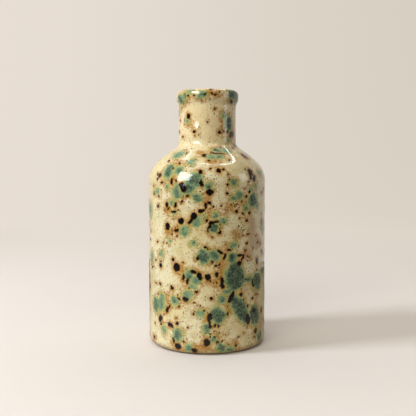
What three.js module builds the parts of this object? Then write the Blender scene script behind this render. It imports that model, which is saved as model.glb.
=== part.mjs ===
import * as THREE from 'three';

// Stoneware bottle vase: a straight-sided body, a rounded shoulder, a short neck and a
// rolled lip, glazed inside and out. Millimetres, +Z up, standing on its foot ring at z = 0.
//
// Three bodies, from the outside in:
//   outer_glaze     the glass coat outside, carried over the lip and a little way down the neck
//   stoneware_body  the thrown and fired clay pot with its bare foot ring
//   liner_glaze     the glass coat that makes the inside watertight

// ---- Overall sizes, measured on the glaze surface ----
const HEIGHT = 204;
const BODY_RADIUS = 47.4;
const NECK_RADIUS = 23.2;
const NECK_LENGTH = 28;

// ---- Layers ----
const GLAZE = 0.9;
const LINER = 0.6;
const BOND = 0.3;
const CLAY_WALL = 4.4;

// ---- Foot and heel ----
const FOOT_INSET = 5.8;
const FOOT_WIDTH = 5.6;
const FOOT_BEVEL = 0.5;
const FOOT_LIFT = 1;
const RECESS = 1.6;
const HEEL_SWEEP = 16;
const HEEL_ANGLE = 20;
const HEEL_EDGE = 2.6;
const GLAZE_LINE_ANGLE = 80;

// ---- Shoulder ----
const SHOULDER_RADIUS = 19.4;
const SHOULDER_TURN = 40;
const SHOULDER_CROWN = 54;
const SHOULDER_SLOPE = 34.5;
const NECK_FILLET = 6;

// ---- Lip ----
const LIP_BAND = 12.5;
const LIP_OVERHANG = 1.9;
const LIP_EASE = 5.3;
const LIP_ROLL = 3;
const LIP_INNER_ROLL = 4;
const GLAZE_OVERLAP = 12;

// ---- Inside ----
const FLOOR_THICKNESS = 5.6;
const FLOOR_CORNER = 10;

// ---- Fineness: how far a facet may stray from the true curve ----
const CHORD_ERROR = 0.12;

// ---- Sizes that follow from the ones above ----
const SKIN = GLAZE + BOND;
const CLAY_INSIDE = SKIN + CLAY_WALL;
const BORE_RADIUS = NECK_RADIUS - CLAY_INSIDE - SKIN;
const LIP_RADIUS = NECK_RADIUS + LIP_OVERHANG;
const FOOT_OUTER = BODY_RADIUS - FOOT_INSET;
const FOOT_INNER = FOOT_OUTER - FOOT_WIDTH;
const CREST = 90 - SHOULDER_SLOPE;
const FLOOR_TOP = RECESS + FLOOR_THICKNESS;
const OVERLAP_END = HEIGHT - GLAZE_OVERLAP;

const sinDeg = (degrees) => Math.sin(THREE.MathUtils.degToRad(degrees));
const cosDeg = (degrees) => Math.cos(THREE.MathUtils.degToRad(degrees));
const at = (r, z) => new THREE.Vector2(r, z);

// Number of straight steps that keeps an arc within the chord error.
function stepsFor(radius, sweepDegrees) {
  const step = 2 * THREE.MathUtils.radToDeg(Math.acos(1 - CHORD_ERROR / radius));
  return Math.ceil(Math.abs(sweepDegrees) / step);
}

// Points along a circular arc in the (r, z) half-plane; 0 degrees points away from the axis.
function arc(centre, radius, fromDegrees, toDegrees) {
  const sweep = toDegrees - fromDegrees;
  const steps = stepsFor(radius, sweep);
  const points = [];
  for (let i = 0; i <= steps; i += 1) {
    const angle = fromDegrees + (sweep * i) / steps;
    points.push(at(centre.x + radius * cosDeg(angle), centre.y + radius * sinDeg(angle)));
  }
  return points;
}

// A point at a distance from another one, in the direction of an angle.
function along(from, distance, degrees) {
  return at(from.x + distance * cosDeg(degrees), from.y + distance * sinDeg(degrees));
}

// ---- Arc centres shared by every layer, so that the layers are true offsets ----
const heelRise = FOOT_LIFT + HEEL_EDGE + (HEEL_SWEEP - HEEL_EDGE) * sinDeg(HEEL_ANGLE);
const heelSweepCentre = at(BODY_RADIUS - HEEL_SWEEP, heelRise);
const heelEdgeCentre = along(heelSweepCentre, HEEL_SWEEP - HEEL_EDGE, -HEEL_ANGLE);

// The neck hangs from the lip and the shoulder from the neck; the straight wall takes the rest.
const lipStart = HEIGHT - LIP_BAND;
const filletCentre = at(NECK_RADIUS + NECK_FILLET, lipStart - NECK_LENGTH);
const filletStart = along(filletCentre, NECK_FILLET, 180 + CREST);
const shoulderReach = BODY_RADIUS - SHOULDER_RADIUS;
const crownReach = shoulderReach + (SHOULDER_RADIUS - SHOULDER_CROWN) * cosDeg(SHOULDER_TURN);
const slopeReach = crownReach + SHOULDER_CROWN * cosDeg(CREST);
const slopeDrop = (slopeReach - filletStart.x) * (sinDeg(SHOULDER_SLOPE) / cosDeg(SHOULDER_SLOPE));
const crownEnd = at(slopeReach, filletStart.y - slopeDrop);
const crownCentre = along(crownEnd, SHOULDER_CROWN, 180 + CREST);
const shoulderCentre = along(crownCentre, SHOULDER_CROWN - SHOULDER_RADIUS, SHOULDER_TURN);

const easeCosine = 1 - LIP_OVERHANG / (2 * LIP_EASE);
const easeAngle = THREE.MathUtils.radToDeg(Math.acos(easeCosine));
const coveCentre = at(NECK_RADIUS + LIP_EASE, lipStart);
const bulgeCentre = at(LIP_RADIUS - LIP_EASE, lipStart + 2 * LIP_EASE * sinDeg(easeAngle));
const rollCentre = at(LIP_RADIUS - LIP_ROLL, HEIGHT - LIP_ROLL);
const innerRollCentre = at(BORE_RADIUS + LIP_INNER_ROLL, HEIGHT - LIP_INNER_ROLL);

// Heel, from under the edge up to the straight wall, at a depth below the glaze surface.
function heelRun(depth, underAngle) {
  return [
    ...arc(heelEdgeCentre, HEEL_EDGE - depth, -underAngle, -HEEL_ANGLE),
    ...arc(heelSweepCentre, HEEL_SWEEP - depth, -HEEL_ANGLE, 0),
  ];
}

// Shoulder, from the straight wall up to the foot of the neck.
function shoulderRun(depth) {
  return [
    ...arc(shoulderCentre, SHOULDER_RADIUS - depth, 0, SHOULDER_TURN),
    ...arc(crownCentre, SHOULDER_CROWN - depth, SHOULDER_TURN, CREST),
    ...arc(filletCentre, NECK_FILLET + depth, 180 + CREST, 180),
  ];
}

// Lip, from the top of the neck outside, over the crown and down to the bore.
function lipRun(depth) {
  return [
    ...arc(coveCentre, LIP_EASE + depth, 180, 180 - easeAngle),
    ...arc(bulgeCentre, LIP_EASE - depth, -easeAngle, 0),
    ...arc(rollCentre, LIP_ROLL - depth, 0, 90),
    ...arc(innerRollCentre, LIP_INNER_ROLL - depth, 90, 180),
  ];
}

// Inside of the pot, from the axis out along the floor and up to the foot of the neck,
// at a distance in from the clay.
function insideRun(inset) {
  const corner = at(BODY_RADIUS - CLAY_INSIDE - FLOOR_CORNER, FLOOR_TOP + FLOOR_CORNER);
  return [
    at(0, FLOOR_TOP + inset),
    ...arc(corner, FLOOR_CORNER - inset, -90, 0),
    ...shoulderRun(CLAY_INSIDE + inset),
  ];
}

// Drops points that repeat the one before, where two runs meet.
function withoutRepeats(points) {
  const tooNear = 0.01;
  return points.filter((point, i) => i === 0 || point.distanceTo(points[i - 1]) > tooNear);
}

// A body turned about the axis. A whole number of facets to each quarter keeps it centred.
function turned(name, profile, look) {
  const sides = 4 * stepsFor(BODY_RADIUS, 90);
  const shape = new THREE.LatheGeometry(withoutRepeats(profile), sides);
  shape.rotateX(Math.PI / 2);
  const mesh = new THREE.Mesh(shape, new THREE.MeshStandardMaterial({ ...look, metalness: 0 }));
  mesh.name = name;
  return mesh;
}

// ---- Clay pot: underside with its recess and foot ring, outside, lip, then the inside ----
const underside = FOOT_LIFT + SKIN;
const clayProfile = [
  at(0, RECESS),
  at(FOOT_INNER - RECESS, RECESS),
  at(FOOT_INNER, FOOT_BEVEL),
  at(FOOT_INNER + FOOT_BEVEL, 0),
  at(FOOT_OUTER - FOOT_BEVEL, 0),
  at(FOOT_OUTER, FOOT_BEVEL),
  at(FOOT_OUTER, underside),
  ...heelRun(SKIN, 90),
  ...shoulderRun(SKIN),
  ...lipRun(SKIN),
  ...insideRun(0).reverse(),
];

// ---- Outer glaze: its face from the heel to inside the neck, then its back ----
const glazeFace = [
  ...heelRun(0, GLAZE_LINE_ANGLE),
  ...shoulderRun(0),
  ...lipRun(0),
  at(BORE_RADIUS, OVERLAP_END),
];
const glazeBack = [
  ...heelRun(GLAZE, GLAZE_LINE_ANGLE),
  ...shoulderRun(GLAZE),
  ...lipRun(GLAZE),
  at(BORE_RADIUS + GLAZE, OVERLAP_END),
];
const glazeProfile = [...glazeFace, ...glazeBack.reverse(), glazeFace[0]];

// ---- Liner: its back against the clay, then its face, both starting on the axis ----
const linerTop = OVERLAP_END - BOND;
const clayBore = NECK_RADIUS - CLAY_INSIDE;
const linerProfile = [
  ...insideRun(BOND),
  at(clayBore - BOND, linerTop),
  at(clayBore - BOND - LINER, linerTop),
  ...insideRun(BOND + LINER).reverse(),
];

const vase = new THREE.Group();
vase.name = 'bottle_vase';
vase.add(turned('stoneware_body', clayProfile, { color: 0x9a7f60, roughness: 0.85 }));
vase.add(turned('outer_glaze', glazeProfile, { color: 0xd6c48a, roughness: 0.12 }));
vase.add(turned('liner_glaze', linerProfile, { color: 0xd9cfae, roughness: 0.2 }));

export default vase;
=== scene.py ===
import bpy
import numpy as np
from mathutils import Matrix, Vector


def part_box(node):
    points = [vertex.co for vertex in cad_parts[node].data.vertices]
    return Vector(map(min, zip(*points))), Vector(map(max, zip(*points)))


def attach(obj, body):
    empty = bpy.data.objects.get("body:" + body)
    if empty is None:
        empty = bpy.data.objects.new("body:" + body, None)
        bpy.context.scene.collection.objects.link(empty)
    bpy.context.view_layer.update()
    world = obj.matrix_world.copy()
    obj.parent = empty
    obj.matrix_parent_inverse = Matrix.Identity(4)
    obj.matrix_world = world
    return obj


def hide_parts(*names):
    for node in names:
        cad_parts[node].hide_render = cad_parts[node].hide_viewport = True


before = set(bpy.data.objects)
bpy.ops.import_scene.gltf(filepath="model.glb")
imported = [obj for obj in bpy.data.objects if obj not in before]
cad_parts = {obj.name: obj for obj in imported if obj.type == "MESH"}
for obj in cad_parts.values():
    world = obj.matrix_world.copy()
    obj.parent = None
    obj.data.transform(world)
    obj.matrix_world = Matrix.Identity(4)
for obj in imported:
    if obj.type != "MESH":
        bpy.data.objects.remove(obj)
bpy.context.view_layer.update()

# %% [markdown]
# # A stoneware bottle vase
# The real object is one thrown pot under two coats of glaze: a glossy reactive coat outside,
# full of copper green blots and iron spots, and a plain liner coat inside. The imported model
# already holds those three layers. Each one is made again here as a fine, smooth surface at
# exactly the same place, and given its finish.

MM = 0.001


def box_mm(node):
    """Lowest and highest corners of a node, in millimetres."""
    low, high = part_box(node)
    return np.array(low) / MM, np.array(high) / MM


# Thickness of the outer glaze, of the gap that stands in for the bond, and of the liner
GLAZE, BOND, LINER = 0.9, 0.3, 0.6
_, GLAZE_HIGH = box_mm("outer_glaze")
_, CLAY_HIGH = box_mm("stoneware_body")
LINER_LOW, LINER_HIGH = box_mm("liner_glaze")
BODY_RADIUS = GLAZE_HIGH[0]
HEIGHT = GLAZE_HIGH[2]
SKIN = HEIGHT - CLAY_HIGH[2]
CLAY_INSIDE = BODY_RADIUS - LINER_HIGH[0] - BOND
FLOOR_TOP = LINER_LOW[2] - BOND
OVERLAP_END = LINER_HIGH[2] + BOND
print("body radius", BODY_RADIUS, "height", HEIGHT, "skin", SKIN, "clay inside at", CLAY_INSIDE)
print("floor inside at", FLOOR_TOP, "glaze overlap ends at", OVERLAP_END)

# %% [markdown]
# ## The vase's outline
# A thrown pot is a surface of revolution, so one curve in the half-plane (distance from the
# axis, height) describes it. The curve is a chain of arcs: heel, straight wall, shoulder,
# neck and rolled lip. Every layer is the same chain at another depth, which keeps the glaze
# equally thick everywhere, as a dipped coat is.

# %% The chain of arcs
NECK_RADIUS, NECK_LENGTH = 23.2, 28.0
HEEL_SWEEP, HEEL_ANGLE, HEEL_EDGE, FOOT_LIFT = 16.0, 20.0, 2.6, 1.0
SHOULDER_RADIUS, SHOULDER_TURN, SHOULDER_CROWN, SHOULDER_SLOPE = 19.4, 40.0, 54.0, 34.5
NECK_FILLET, FLOOR_CORNER = 6.0, 10.0
LIP_BAND, LIP_OVERHANG, LIP_EASE, LIP_ROLL, LIP_INNER_ROLL = 12.5, 1.9, 5.3, 3.0, 4.0
CREST = 90 - SHOULDER_SLOPE
LIP_RADIUS = NECK_RADIUS + LIP_OVERHANG
BORE_RADIUS = NECK_RADIUS - CLAY_INSIDE - SKIN


def step_from(point, distance, degrees):
    """point + distance * (cos, sin) of the angle."""
    angle = np.radians(degrees)
    return np.array(point) + distance * np.array([np.cos(angle), np.sin(angle)])


def arc(centre, radius, start, end, spacing=0.5):
    """Points centre + radius * (cos t, sin t) for t from start to end, about spacing apart."""
    length = abs(np.radians(end - start)) * radius
    t = np.radians(np.linspace(start, end, max(3, int(length / spacing) + 2)))
    return np.stack([centre[0] + radius * np.cos(t), centre[1] + radius * np.sin(t)], 1)


heel_rise = FOOT_LIFT + HEEL_EDGE + (HEEL_SWEEP - HEEL_EDGE) * np.sin(np.radians(HEEL_ANGLE))
heel_sweep_at = np.array([BODY_RADIUS - HEEL_SWEEP, heel_rise])
heel_edge_at = step_from(heel_sweep_at, HEEL_SWEEP - HEEL_EDGE, -HEEL_ANGLE)
lip_start = HEIGHT - LIP_BAND
fillet_at = np.array([NECK_RADIUS + NECK_FILLET, lip_start - NECK_LENGTH])
fillet_start = step_from(fillet_at, NECK_FILLET, 180 + CREST)
crown_reach = BODY_RADIUS - SHOULDER_RADIUS + (SHOULDER_RADIUS - SHOULDER_CROWN) * np.cos(
    np.radians(SHOULDER_TURN)
)
slope_reach = crown_reach + SHOULDER_CROWN * np.cos(np.radians(CREST))
slope_drop = (slope_reach - fillet_start[0]) * np.tan(np.radians(SHOULDER_SLOPE))
crown_at = step_from([slope_reach, fillet_start[1] - slope_drop], SHOULDER_CROWN, 180 + CREST)
shoulder_at = step_from(crown_at, SHOULDER_CROWN - SHOULDER_RADIUS, SHOULDER_TURN)
ease = np.degrees(np.arccos(1 - LIP_OVERHANG / (2 * LIP_EASE)))
cove_at = np.array([NECK_RADIUS + LIP_EASE, lip_start])
bulge_at = np.array([LIP_RADIUS - LIP_EASE, lip_start + 2 * LIP_EASE * np.sin(np.radians(ease))])
roll_at = np.array([LIP_RADIUS - LIP_ROLL, HEIGHT - LIP_ROLL])
inner_roll_at = np.array([BORE_RADIUS + LIP_INNER_ROLL, HEIGHT - LIP_INNER_ROLL])
print("shoulder starts at", round(float(shoulder_at[1]), 2), "bore radius", round(BORE_RADIUS, 2))


def heel_run(depth, under):
    """Heel from below its edge up to the straight wall, at a depth below the glaze face."""
    return [
        arc(heel_edge_at, HEEL_EDGE - depth, -under, -HEEL_ANGLE, 0.3),
        arc(heel_sweep_at, HEEL_SWEEP - depth, -HEEL_ANGLE, 0),
    ]


def shoulder_run(depth):
    """Shoulder from the straight wall up to the neck."""
    return [
        arc(shoulder_at, SHOULDER_RADIUS - depth, 0, SHOULDER_TURN),
        arc(crown_at, SHOULDER_CROWN - depth, SHOULDER_TURN, CREST),
        arc(fillet_at, NECK_FILLET + depth, 180 + CREST, 180),
    ]


def lip_run(depth):
    """Lip from the top of the neck, over its crown and down to the bore."""
    return [
        arc(cove_at, LIP_EASE + depth, 180, 180 - ease),
        arc(bulge_at, LIP_EASE - depth, -ease, 0),
        arc(roll_at, LIP_ROLL - depth, 0, 90, 0.3),
        arc(inner_roll_at, LIP_INNER_ROLL - depth, 90, 180, 0.3),
    ]


def inside_run(inset):
    """Inside of the pot from the axis, out along the floor and up to the neck."""
    corner = np.array([BODY_RADIUS - CLAY_INSIDE - FLOOR_CORNER, FLOOR_TOP + FLOOR_CORNER])
    return [
        np.array([[0.0, FLOOR_TOP + inset]]),
        arc(corner, FLOOR_CORNER - inset, -90, 0),
        *shoulder_run(CLAY_INSIDE + inset),
    ]


# %% [markdown]
# ## Turning the outline into a surface
# Blender's Spin or Screw tools would turn the curve too, but here the surface is worked out
# as one array: rows along the curve, columns round the axis. That leaves every point free to
# move a little, which is how the throwing rings and the relief of the glaze get in.

# %% Even spacing along a curve
def evened(points, rows):
    """The same curve with rows points, equally far apart along its length."""
    points = np.concatenate(points)
    keep = np.r_[True, np.hypot(*np.diff(points, axis=0).T) > 1e-6]
    points = points[keep]
    run = np.r_[0, np.cumsum(np.hypot(*np.diff(points, axis=0).T))]
    at = np.linspace(0, run[-1], rows)
    return np.stack([np.interp(at, run, points[:, 0]), np.interp(at, run, points[:, 1])], 1)


def outward(profile, closed):
    """Unit normals of a curve: its direction turned a quarter clockwise."""
    if closed:
        along = np.roll(profile, -1, axis=0) - np.roll(profile, 1, axis=0)
    else:
        along = np.gradient(profile, axis=0)
    along /= np.maximum(np.hypot(*along.T), 1e-9)[:, None]
    return np.stack([along[:, 1], -along[:, 0]], 1)


# %% Soft random unevenness
def unevenness(turn, rise, around, up, seed):
    """Random values on around by up knots, blended with the smooth step 3t^2 - 2t^3.

    turn and rise run from 0 to 1, and turn wraps round."""
    knots = np.random.default_rng(seed).uniform(-1, 1, (up + 2, around))
    u, v = (turn % 1) * around, np.clip(rise, 0, 1) * up
    i, j = np.floor(u).astype(int) % around, np.floor(v).astype(int)
    fu, fv = u - np.floor(u), v - np.floor(v)
    fu, fv = fu * fu * (3 - 2 * fu), fv * fv * (3 - 2 * fv)
    k = (i + 1) % around
    low = knots[j, i] * (1 - fu) + knots[j, k] * fu
    high = knots[j + 1, i] * (1 - fu) + knots[j + 1, k] * fu
    return low * (1 - fv) + high * fv


# %% A flat layout of the surface
HIDDEN_SHARE, MARGIN = 0.1, 0.002


def laid_flat(mesh, profile, closed, sides, shown):
    """A UV map: u once round the axis, v along the profile, each step as long as it is in mm.

    Rows that are never seen get a tenth of their length. At a pole, u is half way along."""
    ends = np.concatenate([profile, profile[:1]]) if closed else profile
    steps = np.diff(ends, axis=0)
    weight = np.where(shown[: len(steps)], 1.0, HIDDEN_SHARE)
    v = np.r_[0, np.cumsum(np.hypot(*steps.T) * weight + 1e-4)]
    v = MARGIN + (1 - 2 * MARGIN) * v / v[-1]
    first, last = (0, len(steps)) if closed else (1, len(steps) - 1)
    k, i = np.meshgrid(np.arange(first, last), np.arange(sides), indexing="ij")
    u = np.stack([i, i + 1, i + 1, i], -1) / sides
    flat = [np.stack([u, np.stack([v[k], v[k], v[k + 1], v[k + 1]], -1)], -1).reshape(-1, 2)]
    if not closed:
        i = np.arange(sides)
        first_pole = (v[0], v[1], [i + 0.5, i + 1, i])
        last_pole = (v[-1], v[-2], [i + 0.5, i, i + 1])
        for end, ring, around in (first_pole, last_pole):
            u = np.stack(around, -1) / sides
            flat.append(np.stack([u, np.array([end, ring, ring]) + 0 * u], -1).reshape(-1, 2))
    layer = mesh.uv_layers.new(name="OFBake")
    layer.data.foreach_set("uv", np.concatenate(flat).astype(np.float32).ravel())


# %% From rows and columns to a mesh
def turned_piece(name, profile, closed, sides, relief, shown):
    """A surface of revolution in which row k, column i sits at angle 2 pi i / sides.

    relief(turn, profile) gives how far, in mm, each point moves out along its normal. A closed
    profile wraps round; an open one starts and ends on the axis, where each pole is one point.
    shown tells which rows can be seen."""
    turn = np.arange(sides) / sides
    move = relief(turn[None, :], profile)
    normal = outward(profile, closed)
    r = profile[:, :1] + move * normal[:, :1]
    z = profile[:, 1:] + move * normal[:, 1:]
    angle = 2 * np.pi * turn[None, :]
    grid = np.stack([r * np.sin(angle), -r * np.cos(angle), z + 0 * angle], -1)
    rows = len(profile)
    if closed:
        verts = grid.reshape(-1, 3)
        k, i = np.meshgrid(np.arange(rows), np.arange(sides), indexing="ij")
        k2, i2 = (k + 1) % rows, (i + 1) % sides
        quads = np.stack([k * sides + i, k * sides + i2, k2 * sides + i2, k2 * sides + i], -1)
        faces = quads.reshape(-1, 4).tolist()
    else:
        verts = np.concatenate([grid[:1, 0], grid[1:-1].reshape(-1, 3), grid[-1:, 0]])
        verts[[0, -1], :2] = 0
        k, i = np.meshgrid(np.arange(rows - 3), np.arange(sides), indexing="ij")
        i2 = (i + 1) % sides
        base = 1 + k * sides
        quads = np.stack([base + i, base + i2, base + sides + i2, base + sides + i], -1)
        one = np.arange(sides)
        two = (one + 1) % sides
        top, last = 1 + (rows - 3) * sides, len(verts) - 1
        first_fan = np.stack([0 * one, 1 + two, 1 + one], -1)
        last_fan = np.stack([last + 0 * one, top + one, top + two], -1)
        faces = quads.reshape(-1, 4).tolist() + first_fan.tolist() + last_fan.tolist()
    mesh = bpy.data.meshes.new(name)
    mesh.from_pydata((verts * MM).tolist(), [], faces)
    laid_flat(mesh, profile, closed, sides, shown)
    mesh.shade_smooth()
    mesh.update()
    piece = bpy.data.objects.new(name, mesh)
    bpy.context.scene.collection.objects.link(piece)
    print(name, len(verts), "points", len(faces), "faces")
    return piece


# %% [markdown]
# ## Where the glaze reacts
# Copper crystals scattered on the raw glaze melt into green blots, and iron grains into black
# spots. A potter drops them by hand, so the front is placed mark by mark: how many degrees
# round from the front, how high, how wide and tall in millimetres, how far it leans, and how
# dark it burnt. The sides and back are scattered with the same sizes.

# %% Green blots on the front
# degrees, height, width, tallness, lean, darkness
BLOTS = [
    (-10, 199, 8.5, 5, 0, 0.5), (-31, 202, 5, 4, 0, 0.3), (57, 200, 14, 8, 0, 1.0),
    (72, 198, 9, 9, 0, 1.0), (48, 177, 8, 10.5, 0, 0.9), (35, 183, 3.4, 4, 0, 0.7),
    (45, 164, 4, 3.5, 0, 0.8), (-42, 179, 3, 3, 0, 0.0), (-75, 187, 3, 4, 0, 0.4),
    (-41, 153, 11, 9, 0, 0.1), (16, 156, 8, 5, 0, 0.9), (15, 151, 5, 4.5, 0, 0.6),
    (5, 151, 6, 5, 0, 0.0), (31, 156, 7, 7, 0, 0.0), (-17, 147, 6, 6, 0, 0.0),
    (-12, 134, 13, 10, 0, 0.7), (-17, 127, 9, 8, 0, 0.9), (-40, 140, 9.5, 12, 0, 0.7),
    (-28, 141, 6.5, 7, 0, 0.4), (-28, 124, 7, 10, 0, 0.6), (-9, 120, 7, 7, 0, 0.6),
    (2, 129, 6, 5, 0, 0.7), (25, 131, 5.5, 4.5, 0, 0.7), (31, 122, 6, 6, 0, 0.6),
    (25, 120, 4.5, 4, 0, 1.0), (45, 126, 3, 3.5, 0, 0.7), (53, 129, 3.5, 3.5, 0, 0.7),
    (49, 118, 11, 11, 0, 1.0), (39, 112, 4, 6, 0, 0.6), (56, 113, 4, 4, 0, 0.6),
    (66, 139, 8, 4, 0, 0.7), (75, 98, 9, 6, 0, 0.5), (-39, 128, 2.6, 2.2, 0, 0.3),
    (-55, 124, 5, 4, 0, 0.5), (-34, 116, 3.2, 3, 0, 0.0), (-31, 108, 4, 3, 0, 0.3),
    (-72, 109, 10, 12, 0, 0.5), (-9, 102, 8, 7.5, 30, 0.5), (-3, 107, 3.6, 3, 0, 0.8),
    (8, 107, 4, 4, 0, 0.6), (6, 98, 8.5, 7, 15, 0.9), (15, 103, 5, 5, 20, 0.7),
    (-21, 95, 7, 8, 0, 0.4), (-12, 86, 5, 4.5, 0, 0.8), (-3, 76, 10, 11, 0, 0.8),
    (7, 77, 10, 7.5, -15, 0.5), (24, 75, 7, 7, 0, 0.9), (25, 84, 5, 5, 0, 0.4),
    (-16, 62, 7, 8, 0, 0.7), (-10, 58, 7, 7.5, 0, 0.2), (-13, 53, 5, 3.6, 0, 0.3),
    (27, 60, 17, 22, 0, 0.9), (19, 49, 7, 4, 0, 0.6), (-37, 87, 3.6, 3.4, 0, 0.6),
    (-48, 76, 4.5, 4, 0, 0.2), (-67, 72, 7, 8, 0, 0.1), (43, 57, 6, 5.5, 0, 0.8),
    (56, 54, 13, 14, 0, 0.8), (72, 94, 8, 6, 0, 0.5), (69, 62, 10, 6, 0, 0.5),
    (-18, 46, 7.5, 7.5, 0, 0.3), (-6, 33, 5.5, 5, 0, 0.5), (14, 43, 5.5, 7, 0, 0.6),
    (10, 31, 13, 12.5, 10, 0.8), (0, 21, 6, 8.5, 0, 0.6), (5, 13, 4.5, 6, 0, 0.7),
    (-28, 15, 8.5, 9.5, 0, 0.7), (-17, 5.5, 5, 5.5, 0, 0.6), (13, 6, 7, 7, 0, 0.8),
    (22, 4, 7, 3.5, 0, 0.7), (-58, 35, 10, 12, 0, 0.5), (-48, 38, 8, 14, 0, 0.4),
    (-32, 41, 6.5, 6.5, 0, 0.4), (-45, 17, 5, 6, 0, 0.3), (33, 34, 11, 29, 35, 0.9),
    (52, 27, 13, 18, 25, 0.9), (62, 9, 8, 9, 0, 0.7),
]

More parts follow.
